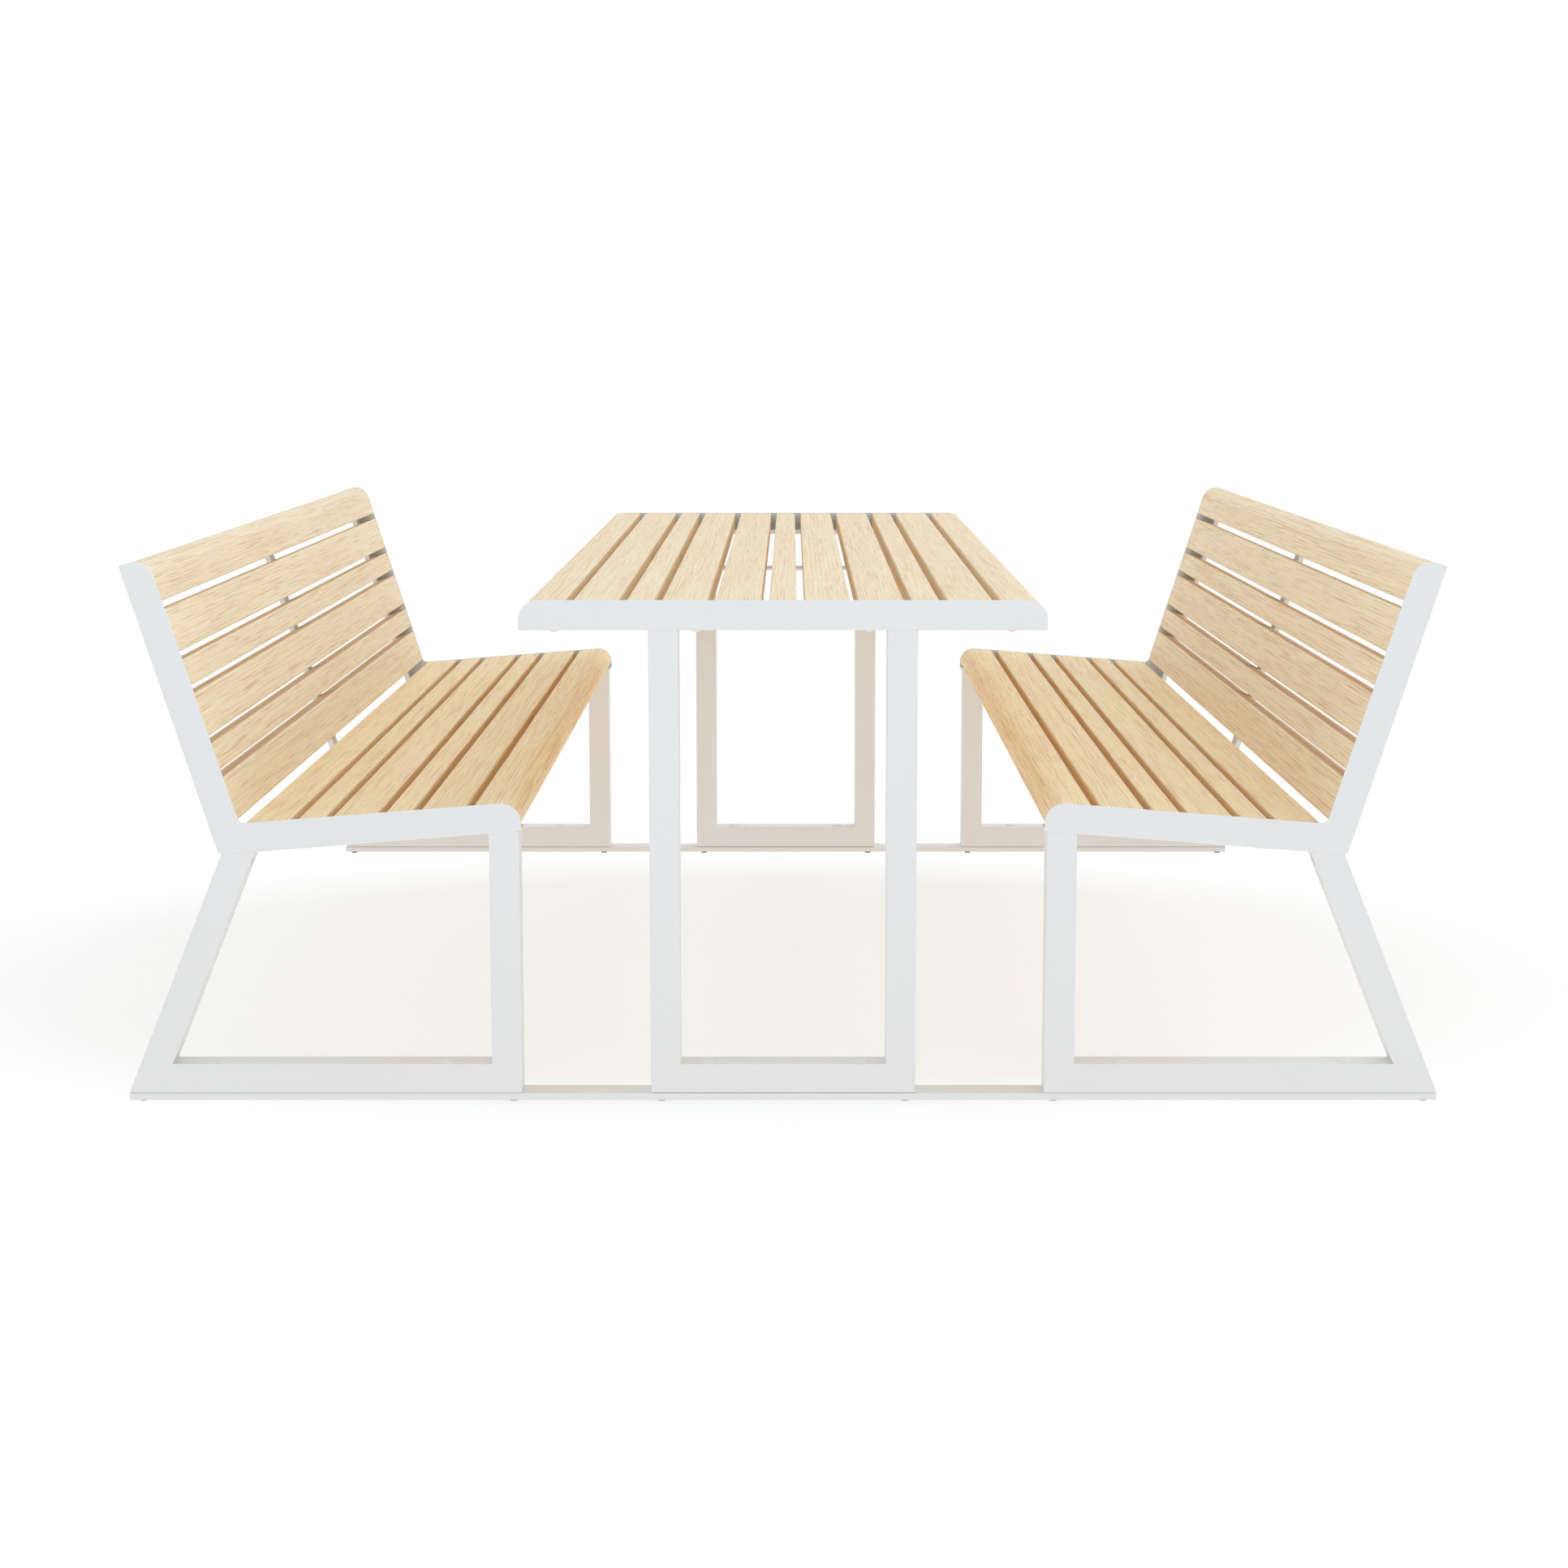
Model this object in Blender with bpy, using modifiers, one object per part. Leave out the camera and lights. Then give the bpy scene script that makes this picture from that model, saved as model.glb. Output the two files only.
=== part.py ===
"""Outdoor table with two benches: folded steel end plates, timber slats, tube leg frames.

Metres, +Z up. X runs across the benches, Y along the slats, Z = 0 is the ground,
and the origin is in the middle of the set, on the ground.
"""

import bmesh
import bpy
from math import ceil, cos, pi, radians, sin
from mathutils import Matrix, Vector

# Overall sizes
TABLE_HEIGHT = 0.750
SET_LENGTH = 2.2687
SET_WIDTH = 1.9418
FIT_GAP = 0.0003

# Base rails and their feet
FOOT_HEIGHT = 0.006
FOOT_BOTTOM_RADIUS = 0.006
FOOT_TOP_RADIUS = 0.010
FOOT_IN = 0.015
FOOT_SINK = 0.002
RAIL_WIDTH = 0.0526
RAIL_THICKNESS = 0.0101
RAIL_EDGE = 0.0008

# Steel sheet and flat bars
SHEET = 0.004
FOLD_RADIUS = 0.003
FLANGE_DEPTH = 0.050
BAR_THICKNESS = 0.0046
BAR_WIDTH = 0.045
BAR_END_BACK = 0.015
BAR_SIDE_GAP = 0.0005
BEND_RADIUS = 0.006
PLATE_CORNER_RADIUS = 0.0282
SEAT_FILLET_RADIUS = 0.010
RELIEF_UNDER_SEAT = 0.0042
RELIEF_BEHIND_BACK = 0.0032
RELIEF_CORNER_IN = 0.0026
SUPPORT_NOSE_RADIUS = 0.004

# Timber slats
SLAT_THICKNESS = 0.034
SLAT_WIDE = 0.066
SLAT_NARROW = 0.040
SLAT_SPACE = 0.012
SLAT_EDGE_RADIUS = 0.003
SLAT_BELOW_PLATE = 0.0005
END_SLAT_EXTRA = 0.0005

# Steel tube of the leg frames
TUBE_WIDTH = 0.0441
TUBE_DEPTH = 0.0505
TUBE_EDGE_RADIUS = 0.0022
FRAME_SET_BACK = 0.0004
TABLE_FRAME_HALF = 0.1962

# Bench, measured from the corner where the seat top meets the front of the back
SEAT_CORNER_HEIGHT = 0.4216
SEAT_TILT = radians(4.46)
BACK_TILT = radians(17.55)
SEAT_FIRST_SLAT = 0.0075
BACK_FIRST_SLAT = 0.0055
SEAT_PLATE_PAST_SLAT = 0.001
BACK_PLATE_PAST_SLAT = 0.0005
FRONT_LEG_SET_BACK = 0.00085
SLANT_LEG_SET_IN = 0.0036
SLANT_LEG_TILT = radians(22.09)
SLANT_LEG_PAST_RAIL = 0.0007
ACCESS_HOLE_RADIUS = 0.008
ACCESS_HOLE_DROP = 0.0176
ACCESS_HOLE_DEPTH = 0.012

# Slat patterns, wide and narrow slats in turn
TABLE_PATTERN = "WWNWWNWWNWW"
BENCH_PATTERN = "WNWNWW"

# Sizes worked out from the ones above
LAYERS = SHEET + FIT_GAP + BAR_THICKNESS + FIT_GAP + SLAT_THICKNESS
BAND = LAYERS + SLAT_BELOW_PLATE
SLAT_LENGTH = SET_LENGTH - 2 * (SHEET + FIT_GAP)
RAIL_TOP = FOOT_HEIGHT + RAIL_THICKNESS
FRAME_BOTTOM = RAIL_TOP + FIT_GAP
CROSS_TUBE_TOP = FRAME_BOTTOM + TUBE_WIDTH
PLATE_BOTTOM = TABLE_HEIGHT - BAND
ARC_STEP = radians(11)
SHARP_ANGLE = radians(20)
FLAT_ANGLE = radians(1)
ROUND_SIDES = 24
FOLD_SEGMENTS = 3
EDGE_SEGMENTS = 2
CUT_MARGIN = 0.02
WELD_DISTANCE = 0.00001


def pattern_length(pattern):
    return sum(PATTERN_WIDTHS[key] for key in pattern) + SLAT_SPACE * (len(pattern) - 1)


PATTERN_WIDTHS = {"W": SLAT_WIDE, "N": SLAT_NARROW}
TABLE_PLATE_HALF = pattern_length(TABLE_PATTERN) / 2 + END_SLAT_EXTRA + SLAT_BELOW_PLATE
SEAT_LENGTH = SEAT_FIRST_SLAT + pattern_length(BENCH_PATTERN) + SEAT_PLATE_PAST_SLAT
BACK_LENGTH = BACK_FIRST_SLAT + pattern_length(BENCH_PATTERN) + BACK_PLATE_PAST_SLAT
RAIL_HALF_LENGTH = SET_WIDTH / 2


def clear_scene():
    for obj in list(bpy.data.objects):
        bpy.data.objects.remove(obj, do_unlink=True)


def make_collection(name):
    collection = bpy.data.collections.new(name)
    bpy.context.scene.collection.children.link(collection)
    return collection


def make_material(name, colour, roughness, metallic):
    material = bpy.data.materials.new(name)
    material.use_nodes = True
    shader = material.node_tree.nodes["Principled BSDF"]
    shader.inputs["Base Color"].default_value = (*colour, 1.0)
    shader.inputs["Roughness"].default_value = roughness
    shader.inputs["Metallic"].default_value = metallic
    return material


def arc_points(corner, before, after, radius):
    """Points of a round corner between two straight edges."""
    to_before = (before - corner).normalized()
    to_after = (after - corner).normalized()
    opening = to_before.angle(to_after)
    reach = radius / (sin(opening / 2) / cos(opening / 2))
    start = corner + to_before * reach
    middle = (to_before + to_after).normalized()
    centre = corner + middle * (radius / sin(opening / 2))
    sweep = pi - opening
    steps = max(2, ceil(sweep / ARC_STEP))
    first = start - centre
    turn = 1 if to_before.cross(to_after) < 0 else -1
    return [centre + Matrix.Rotation(turn * sweep * i / steps, 2) @ first for i in range(steps + 1)]


def rounded(points, radii):
    """Outline through the points, with an arc at each corner that has a radius."""
    outline = []
    count = len(points)
    for i, corner in enumerate(points):
        radius = radii.get(i, 0.0)
        if radius > 0:
            outline += arc_points(corner, points[i - 1], points[(i + 1) % count], radius)
        else:
            outline.append(corner)
    return outline


def counter_clockwise(outline):
    area = sum(a.x * b.y - b.x * a.y for a, b in zip(outline, outline[1:] + outline[:1]))
    return outline if area > 0 else outline[::-1]


def shade_round(mesh):
    """Smooth over the rounded parts, sharp where two faces meet at an angle."""
    mesh.shade_smooth()
    mesh.set_sharp_from_angle(angle=SHARP_ANGLE)


def outline_curve(name, outline, depth):
    """Flat curve through the outline, filled and drawn out to the depth."""
    curve = bpy.data.curves.new(name, "CURVE")
    curve.dimensions = "2D"
    curve.fill_mode = "BOTH"
    curve.extrude = depth / 2
    ordered = counter_clockwise(outline)
    spline = curve.splines.new("POLY")
    spline.points.add(len(ordered) - 1)
    for point, place in zip(spline.points, ordered):
        point.co = (place.x, place.y, 0.0, 1.0)
    spline.use_cyclic_u = True
    return curve


def outline_mesh(name, outline, depth):
    """The same solid as a welded mesh, for pieces that are cut or rounded."""
    holder = bpy.data.objects.new(name, outline_curve(name, outline, depth))
    bpy.context.scene.collection.objects.link(holder)
    depsgraph = bpy.context.evaluated_depsgraph_get()
    mesh = bpy.data.meshes.new_from_object(holder.evaluated_get(depsgraph))
    bpy.data.objects.remove(holder, do_unlink=True)
    work = bmesh.new()
    work.from_mesh(mesh)
    bmesh.ops.remove_doubles(work, verts=work.verts, dist=WELD_DISTANCE)
    bmesh.ops.dissolve_limit(work, angle_limit=FLAT_ANGLE, verts=work.verts, edges=work.edges)
    work.to_mesh(mesh)
    work.free()
    shade_round(mesh)
    return mesh


def add_part(name, data, material, hub, place=(0, 0, 0), x_axis=(1, 0, 0), y_axis=(0, 0, 1)):
    """Object under its hub, with its flat outline turned to the two axes."""
    data.materials.clear()
    data.materials.append(material)
    obj = bpy.data.objects.new(name, data)
    parts.objects.link(obj)
    across = Vector(x_axis)
    up = Vector(y_axis)
    turn = Matrix((across, up, across.cross(up))).transposed()
    obj.location = place
    obj.rotation_euler = turn.to_euler()
    obj.parent = hub
    return obj


def add_cutter(name, data, hub, place=(0, 0, 0), turn=(pi / 2, 0, 0)):
    obj = bpy.data.objects.new(name, data)
    cutters.objects.link(obj)
    obj.location = place
    obj.rotation_euler = turn
    obj.parent = hub
    obj.hide_render = True
    obj.display_type = "WIRE"
    return obj


def cut(obj, cutter):
    modifier = obj.modifiers.new("cut", "BOOLEAN")
    modifier.operation = "DIFFERENCE"
    modifier.object = cutter
    modifier.solver = "EXACT"


def join(obj, added):
    modifier = obj.modifiers.new("join", "BOOLEAN")
    modifier.operation = "UNION"
    modifier.object = added
    modifier.solver = "EXACT"


def round_edges(obj, width, segments, chosen):
    """Rounds the sharp edges whose two ends pass the test."""
    mesh = obj.data
    work = bmesh.new()
    work.from_mesh(mesh)
    weights = work.edges.layers.float.new("bevel_weight_edge")
    for edge in work.edges:
        sharp = len(edge.link_faces) == 2 and edge.calc_face_angle() > SHARP_ANGLE
        if sharp and chosen(edge.verts[0].co, edge.verts[1].co):
            edge[weights] = 1.0
    work.to_mesh(mesh)
    work.free()
    modifier = obj.modifiers.new("rounding", "BEVEL")
    modifier.width = width
    modifier.segments = segments
    modifier.limit_method = "WEIGHT"


def make_hub(name, turn=0.0, parent=None):
    hub = bpy.data.objects.new(name, None)
    parts.objects.link(hub)
    hub.rotation_euler = (0, 0, turn)
    hub.parent = parent
    return hub


def line_meeting(point, along, other, other_along):
    step = (other - point).cross(other_along) / along.cross(other_along)
    return point + along * step


def bend_offset(depth):
    """From the corner of seat and back to where their lines at this depth meet."""
    return line_meeting(SEAT_DOWN * depth, SEAT_ALONG, BACK_REARWARD * depth, BACK_ALONG)


# Bench outline: lines parallel to the seat top and to the front of the back
SEAT_ALONG = Vector((cos(SEAT_TILT), sin(SEAT_TILT)))
SEAT_DOWN = Vector((sin(SEAT_TILT), -cos(SEAT_TILT)))
BACK_ALONG = Vector((-sin(BACK_TILT), cos(BACK_TILT)))
BACK_REARWARD = Vector((-cos(BACK_TILT), -sin(BACK_TILT)))

# The slanted leg rises from the end of the rail to just inside the plate's outer corner,
# and that places the bench
LEG_ALONG = Vector((sin(SLANT_LEG_TILT), cos(SLANT_LEG_TILT)))
LEG_INWARD = Vector((cos(SLANT_LEG_TILT), -sin(SLANT_LEG_TILT)))
LEG_FOOT = Vector((-RAIL_HALF_LENGTH - SLANT_LEG_PAST_RAIL, RAIL_TOP))
LEG_TOP_OFFSET = bend_offset(BAND) + SEAT_ALONG * SLANT_LEG_SET_IN + SEAT_DOWN * FIT_GAP
LEG_TOP_LEVEL = Vector((0, SEAT_CORNER_HEIGHT + LEG_TOP_OFFSET.y))
LEG_TOP = line_meeting(LEG_FOOT, LEG_ALONG, LEG_TOP_LEVEL, Vector((1, 0)))
SEAT_CORNER = LEG_TOP - LEG_TOP_OFFSET


def seat_point(along, depth):
    return SEAT_CORNER + SEAT_ALONG * along + SEAT_DOWN * depth


def back_point(along, depth):
    return SEAT_CORNER + BACK_ALONG * along + BACK_REARWARD * depth


def bend_point(depth):
    return SEAT_CORNER + bend_offset(depth)


FRONT_LEG_OUT = -seat_point(SEAT_LENGTH, 0).x + FRONT_LEG_SET_BACK
FOOT_OUT = (RAIL_HALF_LENGTH - FOOT_IN, FRONT_LEG_OUT + FOOT_IN, TABLE_FRAME_HALF - FOOT_IN)


def bench_band(near, far, back_length, seat_length):
    """Outline of an L-shaped layer between two depths, from the top of the back round to the nose."""
    return [
        back_point(back_length, near),
        bend_point(near),
        seat_point(seat_length, near),
        seat_point(seat_length, far),
        bend_point(far),
        back_point(back_length, far),
    ]


def bench_plate_outline():
    points = bench_band(0.0, BAND, BACK_LENGTH, SEAT_LENGTH)
    outer = points[4]
    relief = [
        outer + SEAT_ALONG * RELIEF_UNDER_SEAT,
        outer + BACK_ALONG * RELIEF_BEHIND_BACK + SEAT_ALONG * RELIEF_CORNER_IN,
        outer + BACK_ALONG * RELIEF_BEHIND_BACK,
    ]
    points[4:5] = relief
    return rounded(points, {0: PLATE_CORNER_RADIUS, 1: SEAT_FILLET_RADIUS, 2: PLATE_CORNER_RADIUS})


def bent_bar_outline(near, thickness, nose_radius=0.0):
    points = bench_band(near, near + thickness, BACK_LENGTH - BAR_END_BACK, SEAT_LENGTH - BAR_END_BACK)
    return rounded(points, {1: BEND_RADIUS, 3: nose_radius, 4: BEND_RADIUS + thickness})


def slat_outline(width, end_radius):
    """Cross-section of a slat, seen along its length, with its show face up."""
    half = width / 2
    points = [
        Vector((-half, 0.0)),
        Vector((half, 0.0)),
        Vector((half, SLAT_THICKNESS)),
        Vector((-half, SLAT_THICKNESS)),
    ]
    radii = {0: SLAT_EDGE_RADIUS, 1: SLAT_EDGE_RADIUS, 2: end_radius, 3: SLAT_EDGE_RADIUS}
    return rounded(points, radii)


def make_slat_shapes():
    """Curves shared by all slats, by width and by whether one corner follows the plate's arc."""
    corner = PLATE_CORNER_RADIUS - SLAT_BELOW_PLATE
    shapes = {}
    for key, width in PATTERN_WIDTHS.items():
        shapes[key] = outline_curve("slat_" + key, slat_outline(width, SLAT_EDGE_RADIUS), SLAT_LENGTH)
    shapes["bench end"] = outline_curve("slat_bench_end", slat_outline(SLAT_WIDE, corner), SLAT_LENGTH)
    table_width = SLAT_WIDE + END_SLAT_EXTRA
    shapes["table end"] = outline_curve("slat_table_end", slat_outline(table_width, corner), SLAT_LENGTH)
    return shapes


def pattern_places(pattern, start):
    """Kind and middle of each slat along the row."""
    places = []
    at = start
    for key in pattern:
        width = PATTERN_WIDTHS[key]
        places.append((key, at + width / 2))
        at += width + SLAT_SPACE
    return places


def add_table_slats(hub):
    height = TABLE_HEIGHT - SLAT_BELOW_PLATE - SLAT_THICKNESS
    places = pattern_places(TABLE_PATTERN, -pattern_length(TABLE_PATTERN) / 2)
    for i, (key, middle) in enumerate(places):
        name = f"table_slat_{i + 1:02d}"
        side = -1 if i == 0 else 1
        if i in (0, len(places) - 1):
            middle += side * END_SLAT_EXTRA / 2
            key = "table end"
        add_part(name, slat_shapes[key], timber, hub, (middle, 0, height), (side, 0, 0), (0, 0, 1))


def add_bench_slats(hub, side):
    rows = (
        ("back", BACK_FIRST_SLAT, back_point, BACK_ALONG, -BACK_REARWARD),
        ("seat", SEAT_FIRST_SLAT, seat_point, SEAT_ALONG, -SEAT_DOWN),
    )
    for row, start, point, along, outward in rows:
        places = pattern_places(BENCH_PATTERN, start)
        for i, (key, middle) in enumerate(places):
            shape = slat_shapes["bench end" if i == len(places) - 1 else key]
            foot = point(middle, SLAT_BELOW_PLATE + SLAT_THICKNESS)
            x_axis = (along.x, 0, along.y)
            y_axis = (outward.x, 0, outward.y)
            name = f"{side}_{row}_slat_{i + 1}"
            add_part(name, shape, timber, hub, (foot.x, 0, foot.y), x_axis, y_axis)


def add_folded_plate(name, outline, waste, on_fold, hub, y_sign):
    """Sheet with a flange folded inward: the solid outline less the room above the flange."""
    outer_face = -y_sign * FLANGE_DEPTH / 2
    mesh = outline_mesh(name, outline, FLANGE_DEPTH)
    middle = y_sign * (SET_LENGTH / 2 - FLANGE_DEPTH / 2)
    plate = add_part(name, mesh, white_paint, hub, (0, middle, 0))

    def on_outer_fold(a, b):
        at_face = abs(a.z - outer_face) < WELD_DISTANCE and abs(b.z - outer_face) < WELD_DISTANCE
        return at_face and on_fold(a) and on_fold(b)

    round_edges(plate, FOLD_RADIUS, FOLD_SEGMENTS, on_outer_fold)
    room = FLANGE_DEPTH - SHEET + CUT_MARGIN
    cutter_mesh = outline_mesh(name + "_room", waste, room)
    cutter_middle = y_sign * (SET_LENGTH / 2 - SHEET - room / 2)
    cut(plate, add_cutter(name + "_room", cutter_mesh, hub, (0, cutter_middle, 0)))
    return plate


def add_table_plate(name, hub, y_sign):
    half = TABLE_PLATE_HALF
    points = [
        Vector((-half, PLATE_BOTTOM)),
        Vector((half, PLATE_BOTTOM)),
        Vector((half, TABLE_HEIGHT)),
        Vector((-half, TABLE_HEIGHT)),
    ]
    outline = rounded(points, {2: PLATE_CORNER_RADIUS, 3: PLATE_CORNER_RADIUS})
    flange_top = PLATE_BOTTOM + SHEET
    waste = [
        Vector((-half - CUT_MARGIN, flange_top)),
        Vector((half + CUT_MARGIN, flange_top)),
        Vector((half + CUT_MARGIN, TABLE_HEIGHT + CUT_MARGIN)),
        Vector((-half - CUT_MARGIN, TABLE_HEIGHT + CUT_MARGIN)),
    ]

    def on_fold(point):
        return abs(point.y - PLATE_BOTTOM) < WELD_DISTANCE

    return add_folded_plate(name, outline, waste, on_fold, hub, y_sign)


def add_bench_plate(name, hub, y_sign):
    waste = bench_band(-CUT_MARGIN, BAND - SHEET, BACK_LENGTH + CUT_MARGIN, SEAT_LENGTH + CUT_MARGIN)

    def on_fold(point):
        place = Vector((point.x, point.y)) - SEAT_CORNER
        under = abs(place.dot(SEAT_DOWN) - BAND) < WELD_DISTANCE
        behind = abs(place.dot(BACK_REARWARD) - BAND) < WELD_DISTANCE
        return under or behind

    return add_folded_plate(name, bench_plate_outline(), waste, on_fold, hub, y_sign)


def bench_frame_outline():
    """Slanted rear leg, cross tube and upright front leg, with the leg tops under the seat."""
    inner = LEG_FOOT + LEG_INWARD * TUBE_WIDTH
    level = Vector((1, 0))
    upright = Vector((0, 1))
    front = Vector((-FRONT_LEG_OUT, 0))
    rear = Vector((-FRONT_LEG_OUT - TUBE_WIDTH, 0))
    bottom = Vector((0, FRAME_BOTTOM))
    bar_top = Vector((0, CROSS_TUBE_TOP))
    rail_end = Vector((-RAIL_HALF_LENGTH, 0))
    return [
        Vector((-RAIL_HALF_LENGTH, FRAME_BOTTOM)),
        line_meeting(LEG_FOOT, LEG_ALONG, rail_end, upright),
        LEG_TOP,
        line_meeting(inner, LEG_ALONG, LEG_TOP, SEAT_ALONG),
        line_meeting(inner, LEG_ALONG, bar_top, level),
        line_meeting(rear, upright, bar_top, level),
        line_meeting(rear, upright, LEG_TOP, SEAT_ALONG),
        line_meeting(front, upright, LEG_TOP, SEAT_ALONG),
        line_meeting(front, upright, bottom, level),
    ]


def table_frame_outline():
    half = TABLE_FRAME_HALF
    inner = half - TUBE_WIDTH
    top = PLATE_BOTTOM - FIT_GAP
    return [
        Vector((-half, FRAME_BOTTOM)),
        Vector((-half, top)),
        Vector((-inner, top)),
        Vector((-inner, CROSS_TUBE_TOP)),
        Vector((inner, CROSS_TUBE_TOP)),
        Vector((inner, top)),
        Vector((half, top)),
        Vector((half, FRAME_BOTTOM)),
    ]


def add_tube_frame(name, outline, hub, y_sign, on_leg_top):
    mesh = outline_mesh(name, outline, TUBE_DEPTH)
    middle = y_sign * (SET_LENGTH / 2 - FRAME_SET_BACK - TUBE_DEPTH / 2)
    frame = add_part(name, mesh, white_paint, hub, (0, middle, 0))

    def along_tube(a, b):
        same_face = abs(a.z - b.z) < WELD_DISTANCE
        return same_face and not (on_leg_top(a) and on_leg_top(b))

    round_edges(frame, TUBE_EDGE_RADIUS, FOLD_SEGMENTS, along_tube)
    return frame


def add_table_frame(name, hub, y_sign):
    def on_leg_top(point):
        return abs(point.y - PLATE_BOTTOM + FIT_GAP) < WELD_DISTANCE

    return add_tube_frame(name, table_frame_outline(), hub, y_sign, on_leg_top)


def hole_cutter(name, face_point, face_out, hub, middle):
    """Round cutter square to a leg's face, half of it outside the leg."""
    work = bmesh.new()
    bmesh.ops.create_cone(work, cap_ends=True, segments=ROUND_SIDES, radius1=ACCESS_HOLE_RADIUS,
                          radius2=ACCESS_HOLE_RADIUS, depth=2 * ACCESS_HOLE_DEPTH)
    mesh = bpy.data.meshes.new(name)
    work.to_mesh(mesh)
    work.free()
    shade_round(mesh)
    turn = Vector((face_out.x, 0, face_out.y)).to_track_quat("Z", "Y").to_euler()
    return add_cutter(name, mesh, hub, (face_point.x, middle, face_point.y), turn)


def add_bench_frame(name, hub, y_sign):
    outline = bench_frame_outline()

    def on_leg_top(point):
        depth = (Vector((point.x, point.y)) - SEAT_CORNER).dot(SEAT_DOWN)
        return abs(depth - BAND - FIT_GAP) < WELD_DISTANCE

    frame = add_tube_frame(name, outline, hub, y_sign, on_leg_top)
    middle = frame.location.y
    slant_top, slant_low = outline[3], outline[4]
    slant_down = (slant_low - slant_top).normalized()
    slant_out = Vector((-slant_down.y, slant_down.x))
    slant_hole = slant_top + slant_down * ACCESS_HOLE_DROP
    cut(frame, hole_cutter(name + "_slant_hole", slant_hole, slant_out, hub, middle))
    front_hole = outline[6] - Vector((0, ACCESS_HOLE_DROP))
    cut(frame, hole_cutter(name + "_front_hole", front_hole, Vector((-1, 0)), hub, middle))
    return frame


def add_rail(name, hub, y_sign):
    """Flat rail with a row of low round feet under its middle."""
    middle = y_sign * (SET_LENGTH / 2 - RAIL_WIDTH / 2)
    work = bmesh.new()
    bmesh.ops.create_cube(work, size=1.0)
    bmesh.ops.scale(work, verts=work.verts, vec=(2 * RAIL_HALF_LENGTH, RAIL_WIDTH, RAIL_THICKNESS))
    mesh = bpy.data.meshes.new(name)
    work.to_mesh(mesh)
    work.free()
    shade_round(mesh)
    place = (0, middle, FOOT_HEIGHT + RAIL_THICKNESS / 2)
    rail = add_part(name, mesh, white_paint, hub, place, (1, 0, 0), (0, 1, 0))
    round_edges(rail, RAIL_EDGE, EDGE_SEGMENTS, lambda a, b: True)
    height = FOOT_HEIGHT + FOOT_SINK
    work = bmesh.new()
    for out in FOOT_OUT:
        for x in (-out, out):
            foot_place = Matrix.Translation((x, 0, height / 2))
            bmesh.ops.create_cone(work, cap_ends=True, segments=ROUND_SIDES, radius1=FOOT_BOTTOM_RADIUS,
                                  radius2=FOOT_TOP_RADIUS, depth=height, matrix=foot_place)
    feet = bpy.data.meshes.new(name + "_feet")
    work.to_mesh(feet)
    work.free()
    shade_round(feet)
    join(rail, add_cutter(name + "_feet", feet, hub, (0, middle, 0), (0, 0, 0)))
    return rail


def add_table(root):
    hub = make_hub("table", parent=root)
    add_table_slats(hub)
    bar_low = PLATE_BOTTOM + SHEET + FIT_GAP
    bar_half = TABLE_PLATE_HALF - BAR_END_BACK
    corners = [
        Vector((-bar_half, bar_low)),
        Vector((bar_half, bar_low)),
        Vector((bar_half, bar_low + BAR_THICKNESS)),
        Vector((-bar_half, bar_low + BAR_THICKNESS)),
    ]
    bar_shape = outline_curve("table_slat_bar", corners, BAR_WIDTH)
    end_middle = SET_LENGTH / 2 - SHEET - BAR_SIDE_GAP - BAR_WIDTH / 2
    for end, y_sign in (("front", -1), ("rear", 1)):
        add_table_plate(f"table_end_plate_{end}", hub, y_sign)
        add_table_frame(f"table_leg_frame_{end}", hub, y_sign)
        add_part(f"table_slat_bar_{end}", bar_shape, white_paint, hub, (0, y_sign * end_middle, 0))
    add_part("table_slat_bar_middle", bar_shape, white_paint, hub)


def add_bench(side, root):
    """One bench, drawn as the left one; the right one is the same bench turned round."""
    facing = 1 if side == "left" else -1
    hub = make_hub(f"{side}_bench", 0.0 if side == "left" else pi, root)
    add_bench_slats(hub, side)
    bar_near = SLAT_BELOW_PLATE + SLAT_THICKNESS + FIT_GAP
    bar_shape = outline_curve("bench_slat_bar", bent_bar_outline(bar_near, BAR_THICKNESS), BAR_WIDTH)
    support_outline = bent_bar_outline(bar_near, BAND - bar_near, SUPPORT_NOSE_RADIUS)
    support_shape = outline_curve("bench_support", support_outline, BAR_WIDTH)
    end_middle = SET_LENGTH / 2 - SHEET - BAR_SIDE_GAP - BAR_WIDTH / 2
    for end, world_sign in (("front", -1), ("rear", 1)):
        y_sign = world_sign * facing
        add_bench_plate(f"{side}_side_plate_{end}", hub, y_sign)
        add_bench_frame(f"{side}_leg_frame_{end}", hub, y_sign)
        add_part(f"{side}_slat_bar_{end}", bar_shape, white_paint, hub, (0, y_sign * end_middle, 0))
    add_part(f"{side}_middle_support", support_shape, white_paint, hub)


clear_scene()
parts = make_collection("table_with_benches")
cutters = make_collection("cutters")
white_paint = make_material("white powder coated steel", (0.80, 0.82, 0.83), 0.45, 0.0)
timber = make_material("pale timber", (0.80, 0.62, 0.40), 0.55, 0.0)
slat_shapes = make_slat_shapes()
set_root = make_hub("table_with_benches_root")
add_table(set_root)
add_bench("left", set_root)
add_bench("right", set_root)
add_rail("base_rail_front", set_root, -1)
add_rail("base_rail_rear", set_root, 1)
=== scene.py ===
"""Looks of the outdoor table with two benches: timber, powder coat, bolts and screws, studio, camera."""

from math import cos, pi, radians, sin

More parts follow.
